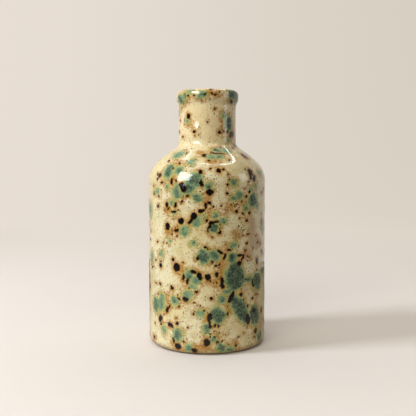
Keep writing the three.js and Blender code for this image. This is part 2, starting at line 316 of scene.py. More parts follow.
# %% Iron spots on the front
# degrees, height, width, tallness, lean
SPOTS = [
    (-39, 183, 3.2, 4.4, 10), (-25, 171, 2.6, 2.8, 0), (-15, 168, 1.9, 1.5, 0),
    (-15, 174, 1.6, 1.2, 0), (-24, 168, 1.8, 1, 0), (25, 170, 3, 2.5, -25),
    (58, 169, 6.5, 4.5, 10), (51, 167, 2.6, 2, 0), (44, 171, 3.4, 1.8, 0), (35, 171, 2, 1.8, 0),
    (-55, 167, 3, 1.8, 0), (-72, 171, 3, 1.4, 0), (5, 180, 1.3, 1.2, 0), (1, 178, 1.2, 1.2, 0),
    (15, 188, 1.8, 1.3, 0), (36, 186, 1.9, 1.2, 0), (-36, 198.5, 2.2, 1.9, -30),
    (-24, 198.5, 2.2, 1.5, 0), (-42, 198, 1.4, 1.4, 0), (-1, 200.5, 1.6, 1.3, 0),
    (-3, 199, 3, 1.8, -15), (9, 200, 2, 2, 0), (15, 199, 2, 1.4, 0), (19, 199, 1.4, 1, 0),
    (23, 201.5, 1.8, 1.4, 0), (8, 203, 2, 1.5, 0), (29, 199, 1.2, 1, 0), (53, 194.5, 5, 2.4, -20),
    (-52, 193, 1.6, 1, 0), (-60, 189.5, 2, 1, 0), (-10, 194.5, 1, 1.2, 0),
    (-3.5, 152, 3.4, 4.6, -25), (2, 148, 2.2, 2, 0), (17, 153.5, 9, 1.8, 0), (8, 154, 4, 2, 0),
    (26, 148.5, 2, 2, 0), (56, 151.5, 5, 7, 25), (-48, 148, 3, 2.2, -15),
    (-36, 149, 1.6, 1.6, -30), (-30, 146, 4, 1.6, -35), (24, 158, 2.4, 2.4, 20),
    (-29, 154, 1.4, 2.4, 20), (10, 148, 1.1, 3, 0), (66, 159.5, 6, 4, 0), (50, 158, 4, 2, 20),
    (-6, 139.5, 3, 3.6, 10), (3.5, 142, 1.8, 2, 0), (11, 140.5, 3.4, 3.6, 0), (16, 141.5, 2, 2, 0),
    (20, 138, 2, 1.9, 0), (-3, 136, 1.2, 1.2, 0), (-5, 131, 2.8, 5.6, 15),
    (-22, 128, 4.8, 8.5, 30), (-17, 122, 3, 2, 0), (2.5, 124.5, 5.6, 5, 0), (1.5, 128.5, 2, 2, 0),
    (2.5, 116.5, 3.4, 2.2, -30), (-1, 114.5, 2, 5, 10), (6, 113.5, 2.2, 1.6, 0),
    (13, 114, 1.6, 1.5, 0), (-5, 110.5, 5, 3, 10), (-12, 106.5, 4.6, 5.5, -25),
    (-15, 102.7, 2.5, 6, -38), (-24.5, 102.5, 5, 5, 20), (-23.5, 117, 1.7, 3.6, -30),
    (-27, 111, 1.6, 1.5, 0), (19, 130, 2, 2, 0), (18.5, 123.5, 2.6, 1.8, -30),
    (0, 103, 1.4, 2.6, 0), (12.5, 100, 2.2, 1.4, 0), (8.5, 102.5, 4.2, 2.4, 10),
    (4, 101.5, 4.4, 3, 20), (3, 99.3, 3.4, 3.4, 20), (1, 97.5, 2, 3.4, 0), (-35, 142, 2, 2.4, 0),
    (-51, 137, 3.2, 3.4, 0), (-55.5, 137.5, 2, 2.4, 0), (-54, 134, 2.2, 2, 0),
    (-46.5, 131.5, 3, 2, 0), (-34, 132.5, 2.4, 5, 0), (-29, 133, 2, 2.2, 0),
    (-52.5, 113, 3, 2.6, 0), (-51.5, 120.7, 2.6, 1.5, 0), (-40, 114.5, 3, 4.6, 0),
    (-38, 111.5, 2.2, 2.6, 0), (-30, 114.5, 2.4, 4.4, -15), (-32, 109.3, 4.6, 2, 0),
    (-32.5, 103.7, 1.8, 1.1, 0), (-39.3, 98, 4.4, 5.8, 0), (-61.5, 128.5, 2.2, 1.4, 0),
    (-60, 122.5, 2.8, 2.6, 0), (46.5, 139, 5.2, 6.4, 0), (45.5, 135, 2.2, 3, 0),
    (51, 134.5, 3.2, 5.4, -15), (43.3, 124.3, 2.4, 2.2, 0), (39.5, 120.7, 2.4, 2.2, 0),
    (37.5, 127, 2, 1.6, 0), (40.5, 141.5, 2, 1.8, 0), (42.5, 132, 2, 1.5, 0),
    (34, 117.3, 2, 1.4, 0), (28, 115.5, 2, 1.2, 0), (26, 113.8, 1.8, 1.6, 0),
    (28.3, 110, 2.2, 2.8, 0), (35.5, 108.2, 2, 2.2, 0), (43.5, 108, 2.4, 2.8, 0),
    (31.5, 104.5, 1.6, 1.4, 0), (40, 102.3, 3, 2.6, 0), (65, 106, 2.5, 1.8, 0),
    (66, 99.5, 3, 6, 0), (65.5, 123, 3, 2, 0), (71.5, 125.5, 3.6, 4.4, 0),
    (-12, 64.3, 5.4, 2.8, -20), (-6.5, 61, 4, 6.2, 15), (1, 60.5, 4.8, 5, 0),
    (9, 62.3, 2.8, 4.3, 0), (14, 57, 2.6, 8, 5), (14.5, 53.3, 4, 3.6, 0),
    (12, 79.5, 5.6, 2.1, -30), (21, 80.7, 4.2, 1.8, 0), (16.5, 76, 2.2, 5, -20),
    (-8.5, 74.5, 2.6, 2.8, 0), (-1.7, 83.5, 2.1, 2, 0), (1, 81.5, 1.6, 1.8, 0),
    (11.5, 94.3, 3.5, 2.4, 25), (4.6, 90.7, 1.9, 1.7, 0), (1, 95, 1.8, 1.4, 0),
    (17.5, 85, 1.8, 1.8, 0), (-18, 57, 2, 5.6, -10), (-22, 59.5, 2, 4.6, 0),
    (-5, 55.5, 1.5, 1.5, 0), (8.7, 56, 1.2, 1.3, 0), (4.6, 72, 1.6, 2.6, 30),
    (8.5, 68.7, 2.8, 1.8, 0), (10.5, 67, 1.5, 1.4, 0), (11.5, 70, 1.4, 2.2, 0),
    (-9.5, 49, 3.2, 1.9, 0), (-16.5, 51.8, 1.6, 1.3, 0), (-22.5, 71.3, 1.6, 1.2, 0),
    (-29, 67, 6.2, 6.8, 15), (-33, 72.7, 2.2, 3.3, 0), (-49.3, 67.3, 3.4, 4, 0),
    (-48.5, 70.5, 2, 1.8, 0), (-34, 50.5, 2.8, 2.6, 0), (-35.5, 52.2, 1.8, 1.4, 0),
    (-50, 52.3, 1.9, 2.2, 0), (-65, 64, 4.5, 1.6, 8), (-58, 52, 3.2, 1.4, 0),
    (-28.7, 91, 2.1, 1.9, 0), (-29, 95.5, 4.4, 2.4, 20), (-34, 95, 1.7, 2.8, 0),
    (-34.3, 92, 1.5, 1.2, 0), (-39.7, 85, 1.4, 1.1, 0), (-45.2, 84.5, 1.5, 1.7, 0),
    (-54, 85, 2.4, 1.2, 0), (-70, 92, 4, 1.2, 0), (-73, 85.5, 4, 1.8, 0), (-57, 70, 2.6, 1.4, 0),
    (32, 76, 4.6, 1.8, 0), (36, 75, 2, 3.4, 0), (34.8, 72.8, 2.2, 2, 0), (31.5, 70, 4.6, 3.2, 0),
    (41, 75, 1.6, 1.1, 0), (43.5, 73.7, 1.8, 1.1, 0), (46.5, 71.5, 2.6, 1, -30),
    (38, 79, 1.5, 2.6, 0), (40, 84.7, 2.8, 2, 0), (57.5, 84.3, 3.4, 3, 0), (63, 82.7, 3, 2, -15),
    (67.5, 76, 4.4, 2.8, 0), (55.3, 69.7, 3, 4.6, 0), (55.5, 62.5, 3, 1.6, 0),
    (39.3, 57, 2, 1.7, 0), (48.5, 54, 2.2, 4.4, 0), (41, 94.5, 1.7, 1.5, 0),
    (41.5, 91.7, 3.8, 1.4, 0), (35.5, 91.5, 2, 1.6, 0), (53.5, 89.7, 2.2, 2, 0),
    (49, 80.5, 2.2, 1.3, 0), (-20, 43, 5, 3.7, -15), (-27, 43, 3, 2.3, -35),
    (-26.5, 37, 2, 1.7, 0), (4, 44.5, 2.5, 2.5, 0), (-2.6, 34.8, 1.9, 1.7, 0),
    (-12.3, 32, 1.6, 2, 0), (2.5, 30, 4, 6.6, -5), (3.5, 22.5, 2.6, 2.5, 0),
    (7.5, 23.5, 2, 3.5, 0), (3.5, 17, 1.7, 1.4, 0), (6.5, 18.8, 1.5, 1.4, 0),
    (2.5, 25.3, 2, 2.2, 0), (6.5, 14.7, 1.9, 1.5, 0), (3, 14.5, 1.6, 1.4, 0), (0, 10.3, 5.2, 6, 0),
    (-28, 6, 5.8, 5, 0), (-11.5, 4, 4.6, 4, 0), (-22, 10.3, 1.9, 1.7, 0),
    (19.3, 32.2, 1.7, 2.7, 0), (23, 44.5, 3.2, 10, -25), (17.3, 16.1, 1.3, 1.2, 0),
    (20.3, 16, 1.2, 1.2, 0), (14, 11, 1.9, 1.7, 0), (10, 10.5, 1.7, 2.2, 0),
    (10.8, 23, 1.6, 2.8, 0), (-18, 21.3, 1.6, 1.4, 0), (-11.7, 41, 1.6, 1.1, 0),
    (-9, 38.5, 1.4, 1.3, 0), (-40, 33, 2.8, 4.8, -20), (-37.5, 36, 1.7, 2.9, -25),
    (-50, 25, 4.6, 5.4, 0), (-48.7, 20.8, 2.7, 1.7, 0), (-36.5, 21.8, 5.4, 3.5, -10),
    (-29, 23.6, 3.2, 2.7, 0), (-29.7, 27.6, 1.9, 1.3, 0), (-62, 8, 3, 2.4, 0),
    (-32.5, 10.3, 1.5, 3.8, 0), (-38.7, 45.2, 1.9, 1.5, 0), (-53.5, 43.8, 3, 1.3, 0),
    (-59.7, 20, 2.3, 1.4, 0), (42, 25.5, 5, 9, 10), (51, 31, 5, 3.4, 0), (54, 14.5, 4.4, 4.2, 0),
    (51.5, 9.7, 2.7, 1.7, 0), (48.5, 41.2, 2.3, 1.7, 0), (36.5, 41.5, 2, 2.5, 0),
    (33.5, 45.5, 2.7, 3.2, 0), (38.3, 38.7, 2, 1.5, 0), (41.5, 35.7, 1.7, 2.6, 0),
    (55, 43.5, 3, 1.3, 0), (67, 29, 3.6, 3.6, 0), (31, 13, 2, 1.1, 0), (37, 15, 2, 1.2, 0),
    (28, 6.5, 2.4, 2.4, 0), (50, 51, 3, 2.4, 0),
]

# %% Amber runs on the front
# degrees, height, width, tallness, lean
AMBERS = [
    (9, 200, 9, 5.5, 0), (-43, 196, 4, 8, 0), (-38, 177, 8, 3.4, 0), (31, 176, 1.8, 12, 0),
    (-32, 136, 3.6, 8, 0), (-39, 110, 7, 7, 0), (-17, 122, 8, 4, 0), (3, 109, 6, 8, 0),
    (-5, 104, 9, 5, -35), (-9, 154, 5, 5, 0), (7, 147, 9, 5, 0), (-33, 146, 8, 3, -20),
    (-38, 94, 9, 6, 0), (-28, 96, 6, 5, 0), (-23, 61, 3.4, 11, 8), (14, 68, 5, 16, 0),
    (9, 57, 14, 8, 0), (20, 52, 6, 8, 0), (-39, 41, 3.6, 9, 0), (-5, 7, 12, 4, 0),
    (-62, 8, 7, 3.6, 0), (26, 7, 7, 7, 0), (22, 37, 4.6, 9, 0), (-1, 30, 3, 9, 0),
    (0, 119, 2.4, 7, 0), (21, 112, 8, 8, 0), (28, 92, 8, 9, 0), (-22, 122, 3, 6, 0),
    (5, 72, 10, 3, 0), (55, 43, 8, 3.6, 0), (10, 14, 5, 9, 0), (-33, 8, 5, 4, 0),
]

# %% Pinkish brown veils on the front
VEILS = [
    (48, 92, 9, 26, 0), (42, 76, 12, 10, 0), (66, 20, 11, 12, 0), (56, 84, 8, 10, 0),
    (38, 50, 5, 9, 0), (-74, 96, 10, 7, 0), (60, 151, 9, 8, 20),
]
print(len(BLOTS), "green blots and", len(SPOTS), "iron spots placed on the front")


# %% Scattering the rest
MIDDLE_RADIUS = 40  # turns an angle between two marks into mm, near enough to space them


def scattered(rng, count, zone, sizes, spread, keep_apart):
    """Marks at random angles and heights in a zone (degrees, degrees, low, high).

    Widths are sizes * exp(spread * normal), and a mark too near an earlier one is dropped."""
    start, end, low, high = zone
    marks = []
    for _ in range(count * 6):
        degrees, height = rng.uniform(start, end), rng.uniform(low, high)
        wide = sizes * np.exp(spread * rng.normal())
        tall = wide * rng.uniform(0.8, 1.4)
        near = [
            np.hypot(np.radians(degrees - m[0]) * MIDDLE_RADIUS, height - m[1])
            < keep_apart * (wide + m[2])
            for m in marks
        ]
        if not any(near):
            marks.append((degrees, height, wide, tall, rng.uniform(-30, 30), rng.uniform(0.3, 1)))
        if len(marks) == count:
            break
    return marks


rng = np.random.default_rng(41)
BACK_BLOTS = (
    scattered(rng, 74, (78, 282, 4, 150), 7.2, 0.45, 0.34)
    + scattered(rng, 7, (78, 300, 160, 190), 5.5, 0.4, 0.5)
    + scattered(rng, 9, (84, 318, 196, 206), 6.0, 0.4, 0.5)
)
BACK_SPOTS = (
    scattered(rng, 160, (74, 286, 4, 158), 2.7, 0.4, 0.42)
    + scattered(rng, 16, (66, 300, 160, 194), 2.4, 0.3, 0.6)
    + scattered(rng, 14, (72, 318, 195, 206), 1.9, 0.3, 0.6)
)
print(len(BACK_BLOTS), "blots and", len(BACK_SPOTS), "spots scattered round the back")


# %% Distance to the nearest mark
FAR = 14.0  # mm, kept where no mark is nearer


def distance_to_marks(marks, degrees, run, radius, run_at):
    """Signed distance in mm from each point to the edge of the nearest leaning ellipse.

    For a point p in the ellipse's own axes and half sizes h, with a = |p / h| and
    b = |p / h^2|, the distance is a (a - 1) / b. It is negative inside. Also gives the darkness
    of that nearest mark."""
    best = np.full(degrees.shape, FAR)
    dark = np.zeros(degrees.shape)
    for mark in marks:
        across = (degrees - mark[0] + 180) % 360 - 180
        x = np.radians(across) * radius
        y = run - run_at(mark[1])
        lean = np.radians(mark[4])
        p = np.stack([x * np.cos(lean) + y * np.sin(lean), y * np.cos(lean) - x * np.sin(lean)])
        half = np.array([mark[2], mark[3]])[:, None, None] / 2
        a = np.sqrt(((p / half) ** 2).sum(0))
        b = np.sqrt(((p / half**2) ** 2).sum(0)) + 1e-6
        d = np.where(a < 1e-3, -half.min(), a * (a - 1) / b)
        nearer = d < best
        best = np.where(nearer, d, best)
        if len(mark) > 5:
            dark = np.where(nearer, mark[5], dark)
    return best, dark


# %% [markdown]
# ## The outer glaze
# The coat starts just above the bare foot, climbs over everything and ends a little way down
# inside the neck. Both ends are rounded, because molten glass draws its edge into a bead.

# %% Outline of the coat
FACE_ROWS, BACK_ROWS, SIDES = 232, 40, 352
GLAZE_LINE_ANGLE = 80
BEAD = GLAZE / 2
bead_height = OVERLAP_END + BEAD


def coat_side(depth, rows):
    """One side of the coat, from the glaze line at the heel to its end inside the neck."""
    end = np.array([[BORE_RADIUS + depth, bead_height]])
    runs = [*heel_run(depth, GLAZE_LINE_ANGLE), *shoulder_run(depth), *lip_run(depth), end]
    return evened(runs, rows)


face = coat_side(0, FACE_ROWS)
back = coat_side(GLAZE, BACK_ROWS)[::-1]
low_bead = step_from(heel_edge_at, HEEL_EDGE - BEAD, -GLAZE_LINE_ANGLE)
bead_top = arc([BORE_RADIUS + BEAD, bead_height], BEAD, 180, 360, 0.4)[1:-1]
bead_low = arc(low_bead, BEAD, 180 - GLAZE_LINE_ANGLE, 360 - GLAZE_LINE_ANGLE, 0.4)[1:-1]
glaze_profile = np.concatenate([face, bead_top, back, bead_low])
outer_run = np.r_[0, np.cumsum(np.hypot(*np.diff(face, axis=0).T))]
crown_row = int(np.argmax(face[:, 1]))
print("length of the coat's face", round(float(outer_run[-1]), 1), "mm")


def run_at(height):
    """How far along the coat's face a height on its outside is."""
    return float(np.interp(height, face[: crown_row + 1, 1], outer_run[: crown_row + 1]))


# %% How far every point of the coat is from the marks
turn = np.arange(SIDES) / SIDES
degrees = (360 * turn[None, :] + 180) % 360 - 180 + 0 * face[:, :1]
run = outer_run[:, None] + 0 * turn[None, :]
radius = face[:, :1] + 0 * turn[None, :]
blot_edge, blot_dark = distance_to_marks(BLOTS + BACK_BLOTS, degrees, run, radius, run_at)
FULL_HEAT = 14  # width times height, in mm, from which an iron spot scorches fully
iron = [(*m[:5], min(1.0, m[2] * m[3] / FULL_HEAT)) for m in SPOTS + BACK_SPOTS]
spot_edge, spot_heat = distance_to_marks(iron, degrees, run, radius, run_at)
tails = [(m[0], m[1] - 0.5 * m[3], 0.9 * m[2], 0.8 * m[3], m[4]) for m in BACK_BLOTS]
amber_edge, _ = distance_to_marks(AMBERS + tails, degrees, run, radius, run_at)
BACK_VEILS = [
    (100, 120, 14, 22, 10), (140, 60, 20, 16, -20), (205, 110, 16, 30, 0), (262, 50, 12, 26, 0),
]
veil_edge, _ = distance_to_marks(VEILS + BACK_VEILS, degrees, run, radius, run_at)
print("blots cover", round(100 * float((blot_edge < 0).mean())), "percent of the coat's points")


# %% Relief of the coat
def swell(edge, reach):
    """1 well inside a mark, 0 outside it, with a smooth step reach mm wide."""
    t = np.clip((reach - edge) / (2 * reach), 0, 1)
    return t * t * (3 - 2 * t)


# degrees, height, reach across, reach up, rise of the swellings a thumb or a run of glaze left
HUMPS = [(-21, 126, 18, 7, 1.0), (-19, 173, 3, 3, 0.4), (35, 160, 8, 8, 0.2)]


def glaze_relief(turn, profile):
    """Throwing rings, slow waves, blots that stand a little proud, and a bead at the heel.

    The neck was thrown a little off centre, which moves it sideways by up to 0.4 mm."""
    rise = profile[:, 1:] / HEIGHT
    even_rings = 0.07 * unevenness(turn * 0 + 0.5, rise, 3, 46, 5)
    rings = even_rings + 0.05 * unevenness(turn, rise, 5, 60, 6)
    waves = 0.14 * unevenness(turn, rise, 7, 10, 7) + 0.06 * unevenness(turn, rise, 30, 34, 8)
    move = rings + waves
    marks = np.zeros_like(move)
    marks[:FACE_ROWS] = 0.10 * swell(blot_edge, 1.2) + 0.06 * swell(spot_edge, 0.7)
    for at, height, wide, tall, swollen in HUMPS:
        across = np.radians((degrees - at + 180) % 360 - 180) * radius / wide
        up = (run - run_at(height)) / tall
        marks[:FACE_ROWS] += swollen * np.exp(-(across**2) - up**2)
    bead = 0.22 * np.exp(-(((outer_run - 5.0) / 3.0) ** 2))[:, None]
    marks[:FACE_ROWS] += bead * (1 + 0.4 * unevenness(turn, rise[:FACE_ROWS], 16, 3, 9))
    off_centre = 0.4 * np.clip((face[:, 1:] - 140) / 50, 0, 1) * np.sin(2 * np.pi * turn)
    marks[:crown_row] += off_centre[:crown_row]
    fade = np.zeros((len(profile), 1))
    fade[:FACE_ROWS, 0] = np.clip(np.minimum(outer_run, outer_run[-1] - outer_run) / 1.5, 0, 1)
    return (move + marks) * fade


on_face = np.arange(len(glaze_profile)) < FACE_ROWS
glaze = turned_piece("glaze_coat", glaze_profile, True, SIDES, glaze_relief, on_face)


# %% Numbers stored on the coat
def painted(piece, name, values):
    """Stores one number at each point of a piece, for its material to read."""
    layer = piece.data.attributes.new(name, "FLOAT", "POINT")
    layer.data.foreach_set("value", np.ascontiguousarray(values, dtype=np.float32).ravel())


rows = len(glaze_profile)
for name, values, rest in (
    ("blot_edge", blot_edge, FAR),
    ("blot_dark", blot_dark, 0.0),
    ("spot_edge", spot_edge, FAR),
    ("spot_heat", spot_heat, 0.0),
    ("amber_edge", amber_edge, FAR),
    ("veil_edge", veil_edge, FAR),
    ("run", run, 0.0),
):
    full = np.full((rows, SIDES), rest)
    full[:FACE_ROWS] = values
    painted(glaze, name, full)

# %% [markdown]
# ## The clay pot and the liner
# Only the foot ring and the recess under the base show bare clay. The liner shows through the
# mouth: its floor keeps the spiral that the potter's fingers left.

# %% The clay pot
FOOT_INSET, FOOT_WIDTH, RECESS, PLAIN_SIDES = 5.8, 5.6, 1.6, 256
FOOT_OUTER = BODY_RADIUS - FOOT_INSET
FOOT_INNER = FOOT_OUTER - FOOT_WIDTH
foot = np.array(
    [
        [0.0, RECESS],
        [FOOT_INNER - RECESS, RECESS],
        [FOOT_INNER - 0.7, 1.25],
        [FOOT_INNER, 0.5],
        [FOOT_INNER + 0.15, 0.15],
        [FOOT_INNER + 0.5, 0.0],
        [FOOT_OUTER - 0.5, 0.0],
        [FOOT_OUTER - 0.15, 0.15],
        [FOOT_OUTER, 0.5],
        [FOOT_OUTER, 2.2],
    ]
)
under = evened([foot], 90)
clay_out = evened([*heel_run(SKIN, 90), *shoulder_run(SKIN), *lip_run(SKIN)], 120)
clay_in = evened(inside_run(0), 90)[::-1]
clay_profile = np.concatenate([under, clay_out, clay_in])


def clay_relief(turn, profile):
    """Turning grooves in the recess and a sandy unevenness on the foot, both under 0.1 mm."""
    r = profile[:, :1] + 0 * turn
    low = np.zeros((len(profile), 1))
    low[: len(under)] = 1
    grooves = 0.05 * np.sin(2 * np.pi * r / 2.4 + 2 * np.pi * turn)
    in_recess = np.clip((FOOT_INNER - 3 - r) / 2, 0, 1) * np.clip(r / 4, 0, 1)
    sandy = 0.03 * unevenness(turn, r / BODY_RADIUS, 150, 30, 12)
    on_ring = (profile[:, 1:] < 0.05) | (r < 0.5)
    return low * (grooves * in_recess + np.where(on_ring, 0, sandy))


underneath = np.arange(len(clay_profile)) < len(under)
clay = turned_piece("clay_pot", clay_profile, False, PLAIN_SIDES, clay_relief, underneath)

# %% The liner coat
liner_back = evened(
    [*inside_run(BOND), np.array([[NECK_RADIUS - CLAY_INSIDE - BOND, LINER_HIGH[2]]])], 70
)
liner_face = evened(
    [
        *inside_run(BOND + LINER),
        np.array([[NECK_RADIUS - CLAY_INSIDE - BOND - LINER, LINER_HIGH[2] - 0.25]]),
    ],
    170,
)[::-1]
liner_profile = np.concatenate([liner_back, liner_face])


def liner_relief(turn, profile):
    """A finger spiral on the floor, rings up the wall, both on the face only."""
    r = profile[:, :1] + 0 * turn
    rise = profile[:, 1:] / HEIGHT
    on_face = np.zeros((len(profile), 1))
    on_face[len(liner_back) + 2 :] = 1
    spiral = 0.12 * np.sin(2 * np.pi * (r / 6.5 + turn))
    on_floor = np.clip((30 - r) / 6, 0, 1) * np.clip(r / 5, 0, 1)
    rings = 0.12 * unevenness(turn, rise, 6, 40, 14)
    return on_face * (spiral * on_floor * (rise < 0.1) + rings * np.clip(r / 5, 0, 1))


inside = np.arange(len(liner_profile)) >= len(liner_back)
liner = turned_piece("liner_coat", liner_profile, False, PLAIN_SIDES, liner_relief, inside)

# %% Each piece takes the place of its solid
for piece, node, slot in (
    (glaze, "outer_glaze", "reactive_glaze"),
    (clay, "stoneware_body", "stoneware"),
    (liner, "liner_glaze", "liner_glaze"),
):
    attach(piece, "root")
    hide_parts(node)
    print(piece.name, "stands for", node)

# %% [markdown]
# ## Writing materials as sums
# A material is a small calculation done at every point of the surface. Wrapping a node's
# output in a class with + - * / lets the calculation read like one.

# %% One class for the whole calculation
class Flow:
    """A number, colour or vector on its way through a material."""

    def __init__(self, tree, socket=None):
        self.tree = tree
        self.socket = socket

    def node(self, kind, settings=None, inputs=None, output=0):
        """Adds a node, sets it up, then fills or links its inputs; gives one output."""
        made = self.tree.nodes.new(kind)
        for key, value in (settings or {}).items():
            if key == "stops":
                ramp = made.color_ramp
                while len(ramp.elements) < len(value):
                    ramp.elements.new(0.5)
                for element, (place, colour) in zip(ramp.elements, value):
                    element.position, element.color = place, colour
            else:
                setattr(made, key, value)
        for key, value in (inputs or {}).items():
            if isinstance(value, Flow):
                self.tree.links.new(value.socket, made.inputs[key])
            else:
                made.inputs[key].default_value = value
        return Flow(self.tree, made.outputs[output]) if made.outputs else None

    def maths(self, operation, *values):
        """One Math node on numbers or flows."""
        return self.node("ShaderNodeMath", {"operation": operation}, dict(enumerate(values)))

    def __add__(self, other):
        return self.maths("ADD", self, other)

    __radd__ = __add__

    def __sub__(self, other):
        return self.maths("SUBTRACT", self, other)

    def __rsub__(self, other):
        return self.maths("SUBTRACT", other, self)

    def __mul__(self, other):
        return self.maths("MULTIPLY", self, other)

    __rmul__ = __mul__

    def vector(self, operation, inputs, output=0):
        """One Vector Math node."""
        return self.node("ShaderNodeVectorMath", {"operation": operation}, inputs, output)

    def larger(self, other):
        """The greater of the two."""
        return self.maths("MAXIMUM", self, other)

    def fade(self, zero, one):
        """0 at the first value, 1 at the second, with a smooth step between."""
        return self.node(
            "ShaderNodeMapRange",
            {"interpolation_type": "SMOOTHSTEP"},
            {"Value": self, "From Min": zero, "From Max": one},
        )

    def between(self, first, second):
        """Mixes two colours by this number."""
        return self.node(
            "ShaderNodeMix", {"data_type": "RGBA"}, {0: self, 6: first, 7: second}, 2
        )


def colour(red, green, blue):
    """A colour as eyes read it, 0 to 255, turned into the light that a shader works with."""
    c = np.array([red, green, blue]) / 255
    linear = np.where(c <= 0.04045, c / 12.92, ((c + 0.055) / 1.055) ** 2.4)
    return (*linear.tolist(), 1.0)


# %% Patterns measured in millimetres
def new_material(name):
    """An empty material: its tree as a Flow, the place in mm, and the surface shader."""
    made = bpy.data.materials.new(name)
    made.use_nodes = True
    tree = made.node_tree
    tree.nodes.clear()
    flow = Flow(tree)
    place = flow.node("ShaderNodeTexCoord", output="Object")
    place = flow.vector("SCALE", {0: place, "Scale": 1 / MM})
    return made, flow, place


def noise(place, size, detail=2.0, rough=0.5, stretch=1.0):
    """Noise from 0 to 1 with features about size mm wide; stretch lengthens them upwards."""
    if stretch != 1.0:
        place = place.vector("MULTIPLY", {0: place, 1: (1, 1, 1 / stretch)})
    settings = {"Vector": place, "Scale": 1 / size, "Detail": detail, "Roughness": rough}
    return place.node("ShaderNodeTexNoise", None, settings)


def specks(place, cell, smallest, largest, share):
    """Round specks: 1 inside, 0 outside. One grain in each cell mm, a share of them used.

    Each cell has its own random number; its radius runs from smallest to largest by it."""
    cells = {"Vector": place, "Scale": 1 / cell, "Randomness": 1.0}
    near = place.node("ShaderNodeTexVoronoi", None, cells, "Distance") * cell
    chance = place.node("ShaderNodeTexVoronoi", None, cells, "Color")
    chance = place.node("ShaderNodeSeparateColor", None, {0: chance}, 0)
    size = chance.fade(1 - share, 1.0) * (largest - smallest) + smallest
    used = chance.maths("GREATER_THAN", chance, 1 - share)
    return (size - near).fade(-0.06, 0.06) * used


def stored(flow, name):
    """A number stored at the points of the piece."""
    return flow.node("ShaderNodeAttribute", {"attribute_name": name}, None, "Fac")


def finished(made, flow, settings):
    """Ends a material in the surface shader."""
    shader = flow.node("ShaderNodeBsdfPrincipled", None, settings)
    flow.node("ShaderNodeOutputMaterial", None, {"Surface": shader})
    return made


def dressed(piece, made, flow, look):
    """Ends a material in the surface shader and puts it on its piece."""
    piece.data.materials.append(finished(made, flow, look))
    print(made.name, "took", len(made.node_tree.nodes), "nodes")


# %% [markdown]
# ## The reactive glaze
# Straw-coloured glass over buff clay. It runs honey and amber where it is thick, clouds to a
# pale green where copper spread thinly, and burns green, brown and black at the marks. The
# edges of the marks are ragged, so noise is added to the stored distances before they are cut.

# %% Reactive glaze: the ground
made, flow, place = new_material("reactive_glaze")
blot = stored(flow, "blot_edge")
dark = stored(flow, "blot_dark")
spot = stored(flow, "spot_edge")
heat = stored(flow, "spot_heat")
amber = stored(flow, "amber_edge")
veil = stored(flow, "veil_edge")
along = stored(flow, "run")
wide = noise(place, 30, 3, 0.55, 1.6)
middle = noise(place, 9, 3, 0.6, 1.3)
small = noise(place, 3.0, 3, 0.6)
fine = noise(place, 1.0, 3, 0.65)

ground = wide.fade(0.38, 0.62).between(colour(232, 226, 192), colour(224, 211, 163))
tan = middle.fade(0.42, 0.68) * 0.5
ground = tan.between(ground, colour(204, 182, 122))
cloud = noise(place, 14, 3, 0.6).fade(0.54, 0.7) * 0.5
ground = cloud.between(ground, colour(212, 213, 170))
pale = noise(place, 6, 3, 0.6, 0.6).fade(0.53, 0.72) * 0.6
ground = pale.between(ground, colour(240, 233, 207))
thin = along.fade(150, 185) * 0.5
ground = thin.between(ground, colour(247, 224, 178))
dust = fine.fade(0.48, 0.8) * 0.3
ground = dust.between(ground, colour(188, 156, 98))

# %% Reactive glaze: amber runs and brown veils
veiled = (veil + 12 * (middle - 0.5) + 5 * (small - 0.5)).fade(3.5, -3.0)
ground = (veiled * 0.6).between(ground, colour(170, 130, 96))
runny = (amber + 9 * (small - 0.5) + 7 * (middle - 0.5)).fade(2.6, -2.2)
ground = (runny * 0.75).between(ground, colour(180, 136, 58))
heel_pool = (along + 8 * (small - 0.5)).fade(7.0, 2.5) * 0.6
ground = heel_pool.between(ground, colour(174, 126, 64))
rust = (spot + 6 * (small - 0.5) + 4 * (middle - 0.5)).fade(0.7 + 3.6 * heat, -0.6)
rust = rust * (0.35 + 0.4 * noise(place, 7, 2, 0.5).fade(0.38, 0.62) + 0.25 * fine.fade(0.4, 0.65))
ground = rust.between(ground, colour(194, 144, 60))
threads = noise(place, 5, 5, 0.7) - 0.5
threads = threads.maths("ABSOLUTE", threads).fade(0.055, 0.012)
near_marks = (blot.fade(6, 1) + spot.fade(4, 0.5) + amber.fade(5, -1)).fade(0.2, 1.4)
ground = (threads * near_marks * 0.8).between(ground, colour(172, 112, 38))

# %% Reactive glaze: green blots
ragged = blot + 5 * (small - 0.5) + 2.6 * (fine - 0.5) + 4 * (noise(place, 5, 2, 0.5) - 0.5)
stain = ragged.fade(4.2, 0.4) * noise(place, 6, 3, 0.6).fade(0.40, 0.62)
ground = (stain * 0.8).between(ground, colour(168, 132, 60))
halo = ragged.fade(2.6, 0.0)
ground = (halo * 0.75).between(ground, colour(186, 190, 112))
copper = noise(place, 3.6, 4, 0.7).fade(0.36, 0.64)
green = copper.between(colour(94, 130, 96), colour(148, 172, 134))
deep = (ragged + 1.6 * (1 - dark)).fade(0.2, -2.4) * (0.3 + 0.7 * dark)
deep = deep * (0.45 + 0.55 * noise(place, 2.6, 4, 0.7).fade(0.32, 0.56))
green = (deep * 0.9).between(green, colour(40, 58, 52))
flecks = noise(place, 1.1, 3, 0.7).fade(0.5, 0.66)
green = (flecks * 0.45).between(green, colour(156, 182, 156))
pits = (noise(place, 1.7, 3, 0.7) + 0.14 * dark).fade(0.62, 0.74) * ragged.fade(-0.3, -1.2)
green = (pits * 0.7).between(green, colour(30, 38, 32))
body = ragged.fade(1.1, -0.9)
surface = body.between(ground, green)

